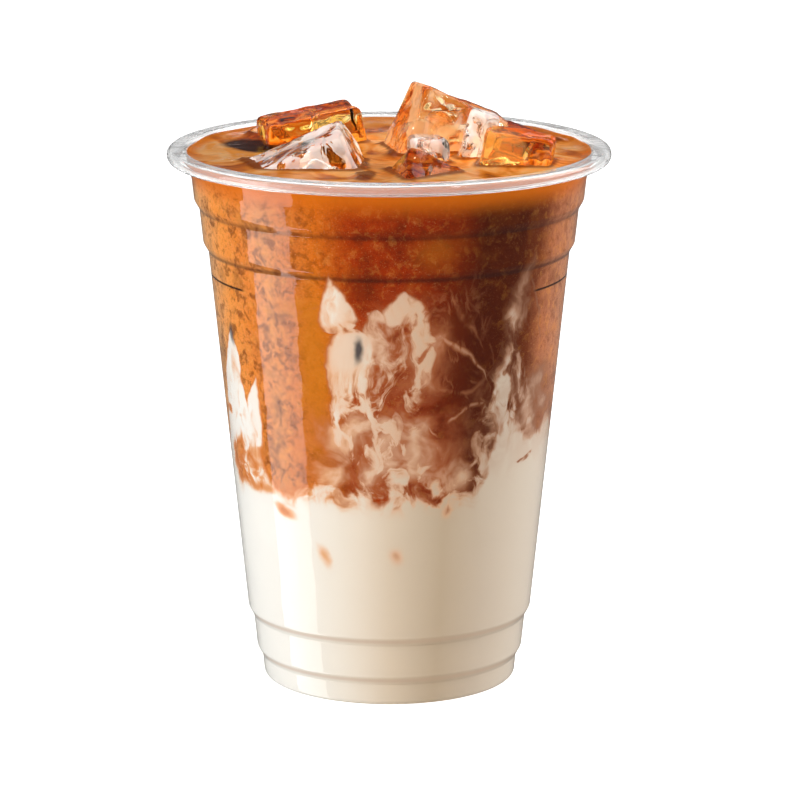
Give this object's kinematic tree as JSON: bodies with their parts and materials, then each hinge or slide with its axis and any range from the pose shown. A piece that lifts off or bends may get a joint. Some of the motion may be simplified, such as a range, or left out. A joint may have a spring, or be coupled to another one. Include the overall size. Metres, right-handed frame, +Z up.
{
  "type": "iced latte in a clear cup",
  "caption": "Iced latte in a tapered clear disposable cup with a rolled rim and stacking bands: milk below, coffee above, ice cubes standing out of the top.",
  "frame": {"origin": "on the cup's axis, in the plane that the foot ring stands on", "axes": "+Z up along the cup's axis; -Y is the side that faces the viewer; +X is the viewer's right"},
  "size_m": [0.098, 0.098, 0.1335],
  "materials": {
    "clear_sheet": "clear thermoformed sheet, glossy and colourless",
    "milk": "cream-coloured milk, opaque, seen through the cup",
    "coffee": "coffee with some milk in it, brown, seen through the cup, tan at its surface",
    "ice": "clear wet ice"
  },
  "bodies": {
    "root": {"cup": "clear_sheet", "milk": "milk", "coffee": "coffee", "ice_tall": "ice", "ice_front_left": "ice", "ice_back_left": "ice", "ice_right": "ice", "ice_back_right": "ice", "ice_corner": "ice", "ice_clear": "ice", "ice_small": "ice", "ice_front": "ice", "ice_chip": "ice"}
  },
  "joints": []
}
